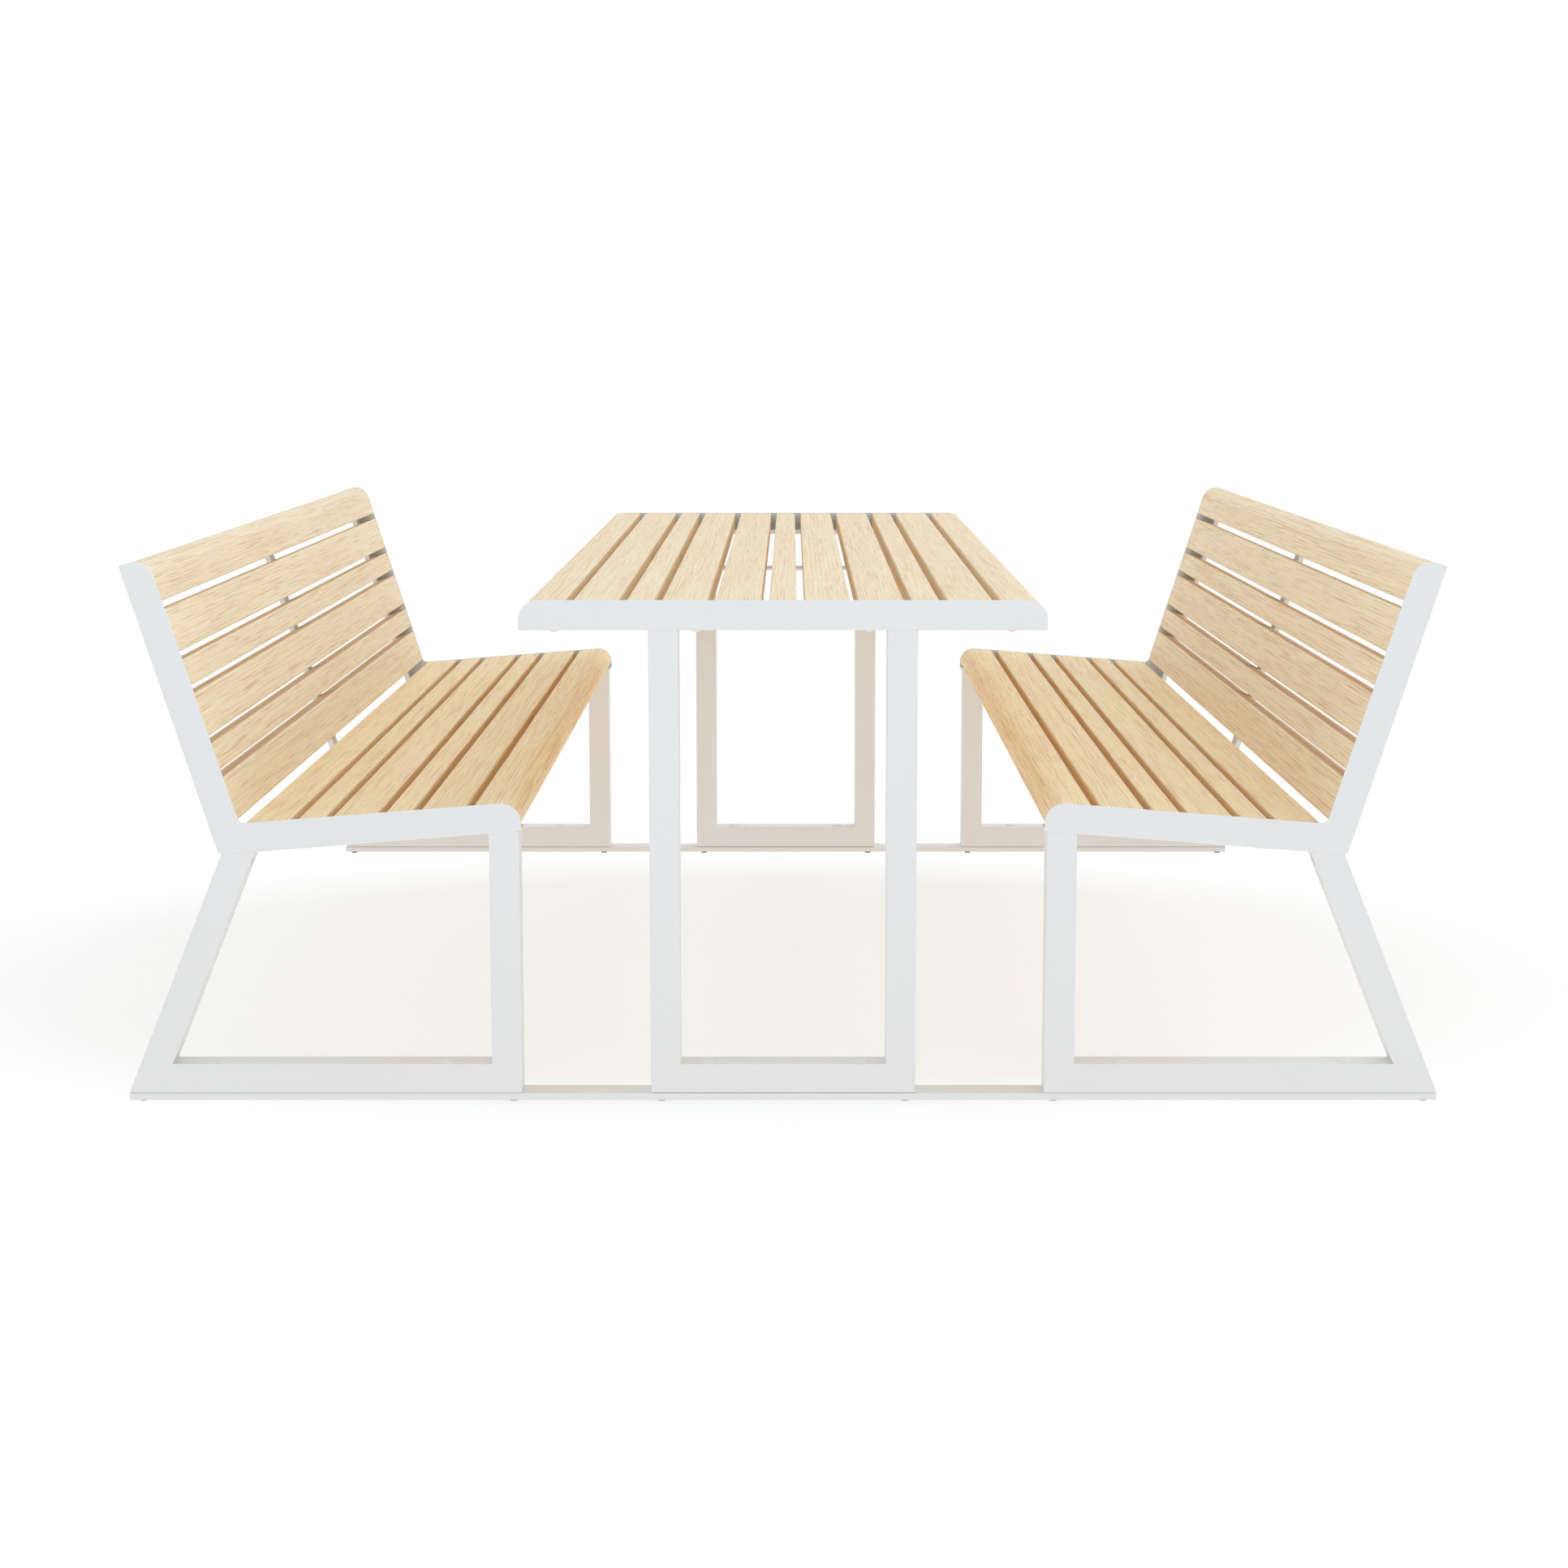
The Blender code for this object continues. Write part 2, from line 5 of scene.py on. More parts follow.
import bmesh
import bpy
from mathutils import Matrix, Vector


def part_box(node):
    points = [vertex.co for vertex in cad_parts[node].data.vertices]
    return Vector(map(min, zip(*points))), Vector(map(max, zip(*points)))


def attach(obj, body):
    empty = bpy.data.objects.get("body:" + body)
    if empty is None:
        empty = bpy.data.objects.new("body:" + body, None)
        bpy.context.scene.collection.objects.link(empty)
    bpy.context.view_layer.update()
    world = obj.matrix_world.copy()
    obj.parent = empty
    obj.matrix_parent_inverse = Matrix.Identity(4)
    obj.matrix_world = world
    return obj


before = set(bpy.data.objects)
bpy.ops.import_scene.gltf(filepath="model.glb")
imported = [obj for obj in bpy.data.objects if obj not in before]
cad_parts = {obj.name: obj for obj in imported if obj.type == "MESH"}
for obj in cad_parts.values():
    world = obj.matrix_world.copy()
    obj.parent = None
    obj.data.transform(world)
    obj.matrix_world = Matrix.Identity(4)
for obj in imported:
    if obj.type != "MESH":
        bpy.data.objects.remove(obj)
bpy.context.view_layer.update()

# Sizes taken over from the solids, in metres
SET_LENGTH = 2.2687
SEAT_TILT = radians(4.46)
BACK_TILT = radians(17.55)
CROSS_TUBE_TOP = 0.0605
TABLE_FLANGE_BOTTOM = 0.7063
MIDDLE_BAR_BOTTOM = 0.7106
UNDER_SLAT_MIDDLE = 0.0262
TABLE_SLATS = 11
BENCH_SLAT_STEPS = (0.0, 0.065, 0.130, 0.195, 0.260, 0.338)

# Ends and sides of the set, with the signs of their Y and X
ENDS = (("front", -1.0), ("rear", 1.0))
SIDES = (("left", -1.0), ("right", 1.0))

# Bolts: how far in from the end of the set, and out from its middle or along the bench's slats
TUBE_BOLT_IN = 0.022
TUBE_BOLT_OUT = (0.8359, 0.5006, 0.1144)
FLANGE_BOLT_IN = 0.025
FLANGE_BOLT_OUT = (0.3345, 0.1275)
BENCH_BOLT_STEPS = {"seat": (0.0538,), "back": (0.065, 0.293)}

# Heads of the bolts and screws
TUBE_BOLT_HEAD = {"radius": 0.0124, "height": 0.0030, "rim": 0.0005}
FLANGE_BOLT_HEAD = {"radius": 0.0068, "height": 0.0047, "rim": 0.0008}
BENCH_BOLT_HEAD = {"radius": 0.0068, "height": 0.0042, "rim": 0.0008}
SCREW_HEAD = {"radius": 0.0045, "height": 0.0022, "rim": 0.0006}
ROUND_STEPS = 28
DOME_STEPS = 6
MERGE_DISTANCE = 0.00001
HEAD_SHARP_ANGLE = radians(40)
UP = (0.0, 0.0, 1.0)
DOWN = (0.0, 0.0, -1.0)

# Weld seams above the leg tops: both ends of each run, as distance out from the middle of the set and height
SEAM_RUNS = {
    "table": ((0.1528, 0.7060), (0.1955, 0.7060)),
    "bench_inner": ((0.3883, 0.40945), (0.4313, 0.40605)),
    "bench_outer": ((0.7773, 0.37905), (0.8252, 0.37535)),
}
# Section of a seam: how far in from the leg's face, and height as a part of the rise
SEAM_SECTION = ((0.00030, 0.0), (0.00002, 0.12), (-0.00006, 0.40), (-0.00004, 0.72), (0.00016, 1.0),
                (0.00080, 0.55), (0.00130, 0.08))
SEAM_RISE = 0.0016
SEAM_CORE = 0.0004
SEAM_TAPER = 0.0010
SEAM_END_SIZE = 0.5
SEAM_SHARP_ANGLE = radians(50)
LEG_FACE_IN = 0.0004

# Camera, fitted to the straight edges in the picture
CAMERA_PLACE = (0.0122, -5.53095, 1.1227)
CAMERA_TILT = radians(81.6847)
CAMERA_LENS = 69.693
CAMERA_FILM = 36.0
CAMERA_SHIFT = (-0.00465, 0.00026)

# How alike the rounded and the true normal are at the start of an edge's wear and painted highlight, and
# where they are full
EDGE_LIKENESS = (0.995, 0.93)

# Powder coat: colours, and the heights between which the painted shade near the ground and the feet's dark
# grey (their plastic, deepened as painted shade) set in
COAT = (0.815, 0.861, 0.889)
COAT_SHADE = (0.775, 0.815, 0.843)
# Edge colour: wear and painted highlight
COAT_EDGE_WEAR_AND_HIGHLIGHT = (0.900, 0.905, 0.905)
# Painted shade near the ground: a darker, warmer coat colour
GROUND_SHADE = (0.815, 0.835, 0.825)
GROUND_SHADE_HEIGHTS = (0.42, 0.02)
# The feet's dark grey is their plastic, deepened as painted shade under the rail
FOOT_GREY_AND_SHADE = (0.200, 0.190, 0.185)
FOOT_HEIGHTS = (0.0059, 0.0057)

# Powder coat: features of each pattern per metre
COAT_DRIFT = {"across": 5.0}
COAT_FLECKS = {"across": 750.0, "detail": 1.0}
COAT_PEEL = {"across": 420.0, "roughness": 0.6}
COAT_SCUFFS = {"across": 60.0, "detail": 3.0, "roughness": 0.7}

# Powder coat: how the patterns, the painted shade near the ground and the edges, lighter from wear and
# painted highlight, tell in its colour and roughness
DRIFT_SHADE = {"to_low": 0.0, "to_high": 0.35, "low": 0.35, "high": 0.65}
FLECK_SHADE = {"to_low": 0.0, "to_high": 0.25}
GROUND_SHADE_COVER = {"to_low": 0.28, "to_high": 0.50}
COAT_EDGE_WEAR_AND_HIGHLIGHT_COVER = 0.30
COAT_ROUGHNESS = {"to_low": 0.40, "to_high": 0.50}
COAT_EDGE_ROUGHNESS = 0.06

# Timber: features of each pattern per metre, across and along the slat
RING_WANDER = {"across": 9.0, "along": 0.9}
FIBRES = {"across": 500.0, "along": 2.2, "detail": 1.0}
STREAKS = {"across": 110.0, "along": 1.6}
CLOUDS = {"across": 20.0, "along": 0.8}
FINE_PORES = {"across": 1050.0, "along": 7.0, "detail": 1.0}
LONG_PORES = {"across": 760.0, "along": 5.0, "detail": 1.0}
PORE_CLUSTERS = {"across": 60.0, "along": 1.6, "detail": 1.0}

# Timber: metres that the patterns shift along X, Y and Z for a seed of 1
SEED_STEPS = (3.7, 9.1, 5.3)

# Timber: how far the rings wander, how sharp their late wood is and where in a ring it falls off
RING_WANDER_SIZE = 0.008
LATE_WOOD_POWER = 3.0
LATE_WOOD_FALL = (1.0, 0.85)

# Timber: what crowds the pores, and the pattern values between which a pore sets in
CLUSTER_CROWDING = {"to_low": -0.06, "to_high": 0.01, "low": 0.32, "high": 0.68}
LATE_WOOD_CROWDING = 0.13
FINE_PORE_RIM = (0.585, 0.645)
LONG_PORE_RIM = (0.605, 0.665)

# Timber: how the patterns and the edges, lighter from wear and painted highlight, tell in its colour,
# roughness and relief
LATE_WOOD_WARMTH = 0.24
STREAK_WARMTH = {"to_low": -0.06, "to_high": 0.14}
FIBRE_WARMTH = {"to_low": -0.10, "to_high": 0.26, "low": 0.36, "high": 0.64}
CLOUD_WARMTH = {"to_low": 0.0, "to_high": 0.14}
FINE_PORE_STRENGTH = 0.7
TIMBER_EDGE_WEAR_AND_HIGHLIGHT_COVER = 0.45
FIBRE_ROUGHNESS = {"to_low": 0.50, "to_high": 0.60, "low": 0.2, "high": 0.8}
PORE_ROUGHNESS = 0.10
TIMBER_EDGE_SMOOTHNESS = 0.08
FIBRE_RELIEF = 0.5
PORE_RELIEF = 0.6
LATE_WOOD_RELIEF = 0.15

# Timber: colours of all slats, then each row's tint, pores, and the painted shade on the slats' sides in the
# gaps with the height at which it is full
TIMBER_PALE = (0.910, 0.785, 0.545)
TIMBER_WARM = (0.800, 0.620, 0.370)
TIMBER_DASH = (0.640, 0.365, 0.185)
TABLE_TIMBER = {"tint": (0.995, 0.98, 1.00), "pore_share": 0.0, "dash_strength": 0.46, "painted_gap_shade": 0.20,
                "gap_shade_full_at": -0.012}
# The seats' warmer, more saturated tint is painted warm shade from the light bounced between table, backs and
# seats
SEAT_TIMBER = {"tint": (1.016, 0.982, 0.914), "pore_share": 0.0, "dash_strength": 0.62, "painted_gap_shade": 0.49,
               "gap_shade_full_at": 0.0085}
BACK_TIMBER = {"pore_share": -0.006, "dash_strength": 0.66, "painted_gap_shade": 0.15, "gap_shade_full_at": 0.0085}
BACK_TINTS = {"left": (1.00, 1.01, 1.05), "right": (1.01, 1.005, 1.03)}

# Slats that depart from their row; the fifth seat slat has deeper painted gap shade, and the sixth of a seat
# or a back has no gap beyond it, so no painted gap shade
SLAT_CHANGES = {
    "seat_slat_5": {"painted_gap_shade": 0.70},
    # The seat's sixth (nose) slat is tinted lighter as a painted highlight, for the light that falls on its
    # rounded front
    "seat_slat_6": {"painted_gap_shade": 0.0, "tint": (1.065, 1.04, 0.98)},
    "back_slat_6": {"painted_gap_shade": 0.0},
}

# Where the painted gap shade starts below a slat's show face, and where it ends above the underside
GAP_SHADE_TOP = 0.0145
GAP_SHADE_BOTTOM = (-0.0166, -0.012)

# Shares of 0 to 1 that step on from slat to slat without repeating, and pick each slat's cut
CUT_STEP = 0.618034
OTHER_CUT_STEP = 0.381966
OTHER_CUT_START = 0.25

# What differs from cut to cut: its value for a share of 0, and what a full share adds
SEED = (0.0, 10.0)
PITH_ACROSS = (0.11, 0.12)
PITH_BELOW = (-0.03, -0.08)
PITH_ABOVE = (0.03, 0.05)
RING_WIDTH = (0.0042, 0.0016)
PORE_SPREAD = (-0.008, 0.016)
PALE_SHARE = (0.990, 0.02)
WARM_SHARE = (0.980, 0.04)

# Floor: the light it throws on the set, the colours that the camera sees, and the shadow's middle and reach
WHITE = (1.0, 1.0, 1.0)
FLOOR_HALF_WIDTH = 40.0
FLOOR_DROP = 0.0004
FLOOR_BOUNCE = (0.42, 0.42, 0.42)
FLOOR_GLOW = (0.628, 0.545, 0.494)
FLOOR_OWN_LIGHT = (0.560, 0.620, 0.620)
FLOOR_SHADED = (0.440, 0.390, 0.395)
SHADOW_MIDDLE = (-0.10, -0.12, 0.0)
SHADOW_SPREAD = (0.66, 0.90, 0.0)
SHADOW_FADE = (0.78, 1.08)

# Lights: the sky ahead and at the sides, far lights (towards, angle, strength), boxes (place, width, power)
SKY_AHEAD = (0.090, 0.124, 0.139)
SKY_SIDES = (1.150, 1.170, 1.185)
FAR_LIGHTS = {
    "light_top": ((0.0, 0.0, 5.0), radians(60), 0.88),
    "light_back_right": ((3.5, 4.5, 4.0), radians(40), 0.43),
}
SOFT_BOXES = {
    "soft_box_high": ((0.0, -6.5, 3.4), 3.0, 23.0),
    "soft_box_low": ((0.0, -6.5, 0.9), 1.6, 25.0),
}
SOFT_BOX_AIM = (0.0, 0.0, 0.4)


# Small helpers for node trees

def add_node(tree, kind, inputs=None, **settings):
    node = tree.nodes.new(kind)
    for key, value in settings.items():
        setattr(node, key, value)
    for key, value in (inputs or {}).items():
        socket = node.inputs[key]
        if isinstance(value, bpy.types.NodeSocket):
            tree.links.new(value, socket)
        else:
            socket.default_value = value
    return node


def maths(tree, operation, first, second=0.0, clamp=False):
    values = {0: first, 1: second}
    return add_node(tree, "ShaderNodeMath", values, operation=operation, use_clamp=clamp).outputs[0]


def plus(tree, first, second, clamp=False):
    return maths(tree, "ADD", first, second, clamp)


def minus(tree, first, second):
    return maths(tree, "SUBTRACT", first, second)


def times(tree, first, second):
    return maths(tree, "MULTIPLY", first, second)


def vector_maths(tree, operation, first, second, output="Vector"):
    return add_node(tree, "ShaderNodeVectorMath", {0: first, 1: second}, operation=operation).outputs[output]


def part(tree, vector, axis):
    return add_node(tree, "ShaderNodeSeparateXYZ", {0: vector}).outputs[axis]


def noise(tree, place, across, along=None, detail=2.0, roughness=0.5):
    """Noise with a number of features per metre, and its own number along Y where one is given."""
    stretched = vector_maths(tree, "MULTIPLY", place, (across, across if along is None else along, across))
    values = {"Vector": stretched, "Scale": 1.0, "Detail": detail, "Roughness": roughness}
    return add_node(tree, "ShaderNodeTexNoise", values).outputs["Fac"]


def ranged(tree, value, low, high, to_low=0.0, to_high=1.0):
    values = {"Value": value, "From Min": low, "From Max": high, "To Min": to_low, "To Max": to_high}
    return add_node(tree, "ShaderNodeMapRange", values, clamp=True).outputs["Result"]


def swing(tree, pattern, to_low, to_high, low=0.3, high=0.7):
    """Spreads a noise pattern, which hardly leaves low and high, over the wanted values."""
    return ranged(tree, pattern, low, high, to_low, to_high)


def mixed(tree, factor, first, second):
    node = add_node(tree, "ShaderNodeMix", data_type="RGBA")
    for socket, value in zip((node.inputs[0], node.inputs[6], node.inputs[7]), (factor, first, second)):
        if isinstance(value, bpy.types.NodeSocket):
            tree.links.new(value, socket)
        else:
            socket.default_value = value
    return node.outputs[2]


def four(colour):
    return (*colour, 1.0)


def new_group(name, inputs, outputs):
    """Node group with its named sockets; returns the tree, the given sockets and the result sockets."""
    tree = bpy.data.node_groups.new(name, "ShaderNodeTree")
    for label, kind, value in inputs:
        socket = tree.interface.new_socket(label, in_out="INPUT", socket_type=kind)
        if value is not None:
            socket.default_value = value
    for label, kind in outputs:
        tree.interface.new_socket(label, in_out="OUTPUT", socket_type=kind)
    given = tree.nodes.new("NodeGroupInput").outputs
    result = tree.nodes.new("NodeGroupOutput").inputs
    return tree, given, result


# Effects shared by the finishes

FINISH_OUTPUTS = (("Color", "NodeSocketColor"), ("Roughness", "NodeSocketFloat"),
                  ("Height", "NodeSocketFloat"))


def make_edge_wear_and_highlight():
    """Mask that is 1 on rounded edges and 0 on flats, from how far the rounded normal leans away; it drives
    edge wear and a painted highlight.
    """
    tree, given, result = new_group(
        "edge wear and highlight",
        [("Reach", "NodeSocketFloat", 0.002)],
        [("Edge", "NodeSocketFloat")],
    )
    rounded = add_node(tree, "ShaderNodeBevel", {"Radius": given["Reach"]}, samples=4).outputs["Normal"]
    true_normal = tree.nodes.new("ShaderNodeNewGeometry").outputs["Normal"]
    likeness = vector_maths(tree, "DOT_PRODUCT", rounded, true_normal, "Value")
    tree.links.new(ranged(tree, likeness, *EDGE_LIKENESS), result["Edge"])
    return tree


def ring_pattern(tree, given, place):
    """Late wood of the growth rings: 0 in the early wood, rising to 1 and falling off sharply."""
    local = add_node(tree, "ShaderNodeSeparateXYZ", {0: given["Position"]}).outputs
    across = minus(tree, local["X"], given["Pith Across"])
    depth = minus(tree, local["Z"], given["Pith Depth"])
    radius = maths(tree, "SQRT", plus(tree, times(tree, across, across), times(tree, depth, depth)))
    wander = noise(tree, place, **RING_WANDER)
    radius = plus(tree, radius, times(tree, wander, RING_WANDER_SIZE))
    phase = maths(tree, "FRACT", maths(tree, "DIVIDE", radius, given["Ring Width"]))
    rise = maths(tree, "POWER", phase, LATE_WOOD_POWER)
    return times(tree, rise, ranged(tree, phase, *LATE_WOOD_FALL))


def pore_masks(tree, given, place, late_wood):
    """Fine and long dark pores, thicker in some places, and more of them in the late wood."""
    crowding = swing(tree, noise(tree, place, **PORE_CLUSTERS), **CLUSTER_CROWDING)
    crowding = plus(tree, crowding, times(tree, late_wood, LATE_WOOD_CROWDING))
    crowding = plus(tree, crowding, given["Pore Share"])
    fine_mask = ranged(tree, plus(tree, noise(tree, place, **FINE_PORES), crowding), *FINE_PORE_RIM)
    long_mask = ranged(tree, plus(tree, noise(tree, place, **LONG_PORES), crowding), *LONG_PORE_RIM)
    return fine_mask, long_mask


def painted_gap_shade_mask(tree, given):
    """Painted shade on the sides of a slat, where they face the gaps: 1 from just below its show face to just
    above its underside.
    """
    depth = part(tree, given["Position"], "Z")
    below_face = ranged(tree, depth, GAP_SHADE_TOP, given["Gap Shade Full At"])
    return times(tree, below_face, ranged(tree, depth, *GAP_SHADE_BOTTOM))


def make_timber_grain():
    """Straight-grained timber: growth rings round a pith, fine fibres and short dark pores along the slat,
    with painted shade on the slat's sides in the gaps and edges lighter from wear and painted highlight.
    """
    tree, given, result = new_group(
        "timber grain",
        [
            ("Position", "NodeSocketVector", None),
            ("Seed", "NodeSocketFloat", 0.0),
            ("Pith Across", "NodeSocketFloat", 0.03),
            ("Pith Depth", "NodeSocketFloat", -0.06),
            ("Ring Width", "NodeSocketFloat", 0.004),
            ("Pore Share", "NodeSocketFloat", 0.0),
            ("Dash Strength", "NodeSocketFloat", 0.5),
            ("Painted Gap Shade", "NodeSocketFloat", 0.3),
            ("Gap Shade Full At", "NodeSocketFloat", 0.0),
            ("Pale", "NodeSocketColor", (0.8, 0.7, 0.5, 1.0)),
            ("Warm", "NodeSocketColor", (0.7, 0.5, 0.3, 1.0)),
            ("Dash", "NodeSocketColor", (0.4, 0.2, 0.1, 1.0)),
            ("Edge", "NodeSocketFloat", 0.0),
        ],
        FINISH_OUTPUTS,
    )
    seed_offset = {i: times(tree, given["Seed"], step) for i, step in enumerate(SEED_STEPS)}
    offset = add_node(tree, "ShaderNodeCombineXYZ", seed_offset).outputs[0]
    place = vector_maths(tree, "ADD", given["Position"], offset)
    late_wood = ring_pattern(tree, given, place)
    fine_mask, long_mask = pore_masks(tree, given, place, late_wood)
    fibres = noise(tree, place, **FIBRES)
    streaks = noise(tree, place, **STREAKS)
    clouds = noise(tree, place, **CLOUDS)

    warmth = plus(tree, times(tree, late_wood, LATE_WOOD_WARMTH), swing(tree, streaks, **STREAK_WARMTH))
    warmth = plus(tree, warmth, swing(tree, fibres, **FIBRE_WARMTH))
    warmth = plus(tree, warmth, swing(tree, clouds, **CLOUD_WARMTH), clamp=True)
    colour = mixed(tree, warmth, given["Pale"], given["Warm"])
    fine_strength = times(tree, given["Dash Strength"], FINE_PORE_STRENGTH)
    colour = mixed(tree, times(tree, fine_mask, fine_strength), colour, given["Dash"])
    colour = mixed(tree, times(tree, long_mask, given["Dash Strength"]), colour, given["Dash"])
    # Painted shade: the slat's sides in the gaps darken towards the dash colour
    colour = mixed(tree, times(tree, painted_gap_shade_mask(tree, given), given["Painted Gap Shade"]), colour, given["Dash"])
    # Edges lighter towards the pale colour: wear and painted highlight
    worn_and_highlit = times(tree, given["Edge"], TIMBER_EDGE_WEAR_AND_HIGHLIGHT_COVER)
    tree.links.new(mixed(tree, worn_and_highlit, colour, given["Pale"]), result["Color"])

    # Open pores are rougher and lie lower; worn edges are smoother
    pores = maths(tree, "MAXIMUM", fine_mask, long_mask)
    rough = plus(tree, swing(tree, fibres, **FIBRE_ROUGHNESS), times(tree, pores, PORE_ROUGHNESS))
    smoothed = times(tree, given["Edge"], TIMBER_EDGE_SMOOTHNESS)
    tree.links.new(minus(tree, rough, smoothed), result["Roughness"])
    relief = minus(tree, times(tree, fibres, FIBRE_RELIEF), times(tree, pores, PORE_RELIEF))
    tree.links.new(minus(tree, relief, times(tree, late_wood, LATE_WOOD_RELIEF)), result["Height"])
    return tree


def make_powder_coat():
    """Satin powder coat: even colour with a soft drift, painted shade near the ground, edges lighter from
    wear and painted highlight, orange-peel relief.
    """
    tree, given, result = new_group(
        "powder coat",
        [
            ("Position", "NodeSocketVector", None),
            ("Coat", "NodeSocketColor", (0.8, 0.8, 0.8, 1.0)),
            ("Shade", "NodeSocketColor", (0.7, 0.7, 0.7, 1.0)),
            ("Ground Shade", "NodeSocketColor", (0.7, 0.7, 0.65, 1.0)),
            ("Worn And Highlit", "NodeSocketColor", (0.9, 0.9, 0.9, 1.0)),
            ("Edge", "NodeSocketFloat", 0.0),
        ],
        FINISH_OUTPUTS,
    )
    place, edge = given["Position"], given["Edge"]
    drift = noise(tree, place, **COAT_DRIFT)
    flecks = noise(tree, place, **COAT_FLECKS)
    scuffs = noise(tree, place, **COAT_SCUFFS)

    shade = plus(tree, swing(tree, drift, **DRIFT_SHADE), swing(tree, flecks, **FLECK_SHADE))
    colour = mixed(tree, shade, given["Coat"], given["Shade"])
    # Painted shade: darker and warmer towards the ground, broken up by the scuff pattern
    near_ground = ranged(tree, part(tree, place, "Z"), *GROUND_SHADE_HEIGHTS)
    colour = mixed(tree, times(tree, near_ground, swing(tree, scuffs, **GROUND_SHADE_COVER)), colour, given["Ground Shade"])
    # Edges lighter: wear and painted highlight
    tree.links.new(mixed(tree, times(tree, edge, COAT_EDGE_WEAR_AND_HIGHLIGHT_COVER), colour, given["Worn And Highlit"]), result["Color"])
    rough = plus(tree, swing(tree, scuffs, **COAT_ROUGHNESS), times(tree, edge, COAT_EDGE_ROUGHNESS))
    tree.links.new(rough, result["Roughness"])
    tree.links.new(noise(tree, place, **COAT_PEEL), result["Height"])
    return tree


edge_wear_and_highlight = make_edge_wear_and_highlight()
timber_grain = make_timber_grain()
powder_coat = make_powder_coat()


# Finishes

def finish_material(name, group, values, edge_reach, bump_strength, bump_distance, specular):
    """Principled material fed by one of the finish groups, with edges lighter from wear and painted
    highlight, and a fine relief.
    """
    material = bpy.data.materials.new(name)
    material.use_nodes = True
    tree = material.node_tree
    shader = tree.nodes["Principled BSDF"]
    edge = add_node(tree, "ShaderNodeGroup", node_tree=edge_wear_and_highlight)
    edge.inputs["Reach"].default_value = edge_reach
    finish = add_node(tree, "ShaderNodeGroup", node_tree=group)
    tree.links.new(edge.outputs["Edge"], finish.inputs["Edge"])
    for key, value in values.items():
        finish.inputs[key].default_value = value
    relief = {"Height": finish.outputs["Height"], "Strength": bump_strength, "Distance": bump_distance}
    bump = add_node(tree, "ShaderNodeBump", relief)
    tree.links.new(finish.outputs["Color"], shader.inputs["Base Color"])
    tree.links.new(finish.outputs["Roughness"], shader.inputs["Roughness"])
    tree.links.new(bump.outputs["Normal"], shader.inputs["Normal"])
    shader.inputs["Specular IOR Level"].default_value = specular
    return material, finish


def object_place(tree):
    return add_node(tree, "ShaderNodeTexCoord").outputs["Object"]


def coat_material(name):
    values = {"Coat": four(COAT), "Shade": four(COAT_SHADE), "Ground Shade": four(GROUND_SHADE), "Worn And Highlit": four(COAT_EDGE_WEAR_AND_HIGHLIGHT)}
    material, finish = finish_material(name, powder_coat, values, edge_reach=0.0016, bump_strength=0.18,
                                       bump_distance=0.0002, specular=0.45)
    material.node_tree.links.new(object_place(material.node_tree), finish.inputs["Position"])
    return material


def rail_material(name):
    """The rail's coat, and the feet below the rail's underside in dark grey: their plastic, deepened as
    painted shade under the rail.
    """
    material = coat_material(name)
    tree = material.node_tree
    base_colour = tree.nodes["Principled BSDF"].inputs["Base Color"]
    coat_colour = base_colour.links[0].from_socket
    # Feet: dark grey for their plastic, deepened as painted shade under the rail
    foot = ranged(tree, part(tree, object_place(tree), "Z"), *FOOT_HEIGHTS)
    tree.links.new(mixed(tree, foot, coat_colour, four(FOOT_GREY_AND_SHADE)), base_colour)
    return material


def at_share(span, share):
    start, added = span
    return start + added * share


def tinted(colour, tint, level=1.0):
    return four([c * t * level for c, t in zip(colour, tint)])


def timber_material(name, timber, centre, lean, index):
    """Timber of one slat, with its own cut from the log; lean turns the slat's show face up."""
    share = (index * CUT_STEP) % 1.0
    other = (index * OTHER_CUT_STEP + OTHER_CUT_START) % 1.0
    side = -1.0 if index % 2 else 1.0
    values = {
        "Seed": at_share(SEED, share),
        "Pith Across": side * at_share(PITH_ACROSS, share),
        "Pith Depth": at_share(PITH_BELOW if index % 3 else PITH_ABOVE, other),
        "Ring Width": at_share(RING_WIDTH, other),
        "Pore Share": timber["pore_share"] + at_share(PORE_SPREAD, share),
        "Dash Strength": timber["dash_strength"],
        "Painted Gap Shade": timber["painted_gap_shade"],
        "Gap Shade Full At": timber["gap_shade_full_at"],
        "Pale": tinted(TIMBER_PALE, timber["tint"], at_share(PALE_SHARE, other)),
        "Warm": tinted(TIMBER_WARM, timber["tint"], at_share(WARM_SHARE, share)),
        "Dash": tinted(TIMBER_DASH, timber["tint"]),
    }
    material, finish = finish_material(name, timber_grain, values, edge_reach=0.0022, bump_strength=0.22,
                                       bump_distance=0.0003, specular=0.35)
    tree = material.node_tree
    mapping = add_node(tree, "ShaderNodeMapping", {"Vector": object_place(tree)}, vector_type="TEXTURE")
    mapping.inputs["Location"].default_value = centre
    mapping.inputs["Rotation"].default_value = (0.0, lean, 0.0)
    tree.links.new(mapping.outputs[0], finish.inputs["Position"])
    return material


def slat_rows():
    """Nodes of each row of slats, their timber, and how far the show face leans from level."""
    rows = [([f"table_slat_{i:02d}" for i in range(1, TABLE_SLATS + 1)], TABLE_TIMBER, 0.0)]
    for side, sign in SIDES:
        seat, back = ([f"{side}_{row}_slat_{i + 1}" for i in range(len(BENCH_SLAT_STEPS))]
                      for row in ("seat", "back"))
        rows.append((seat, SEAT_TIMBER, sign * SEAT_TILT))
        rows.append((back, {**BACK_TIMBER, "tint": BACK_TINTS[side]}, -sign * (pi / 2 - BACK_TILT)))
    return rows


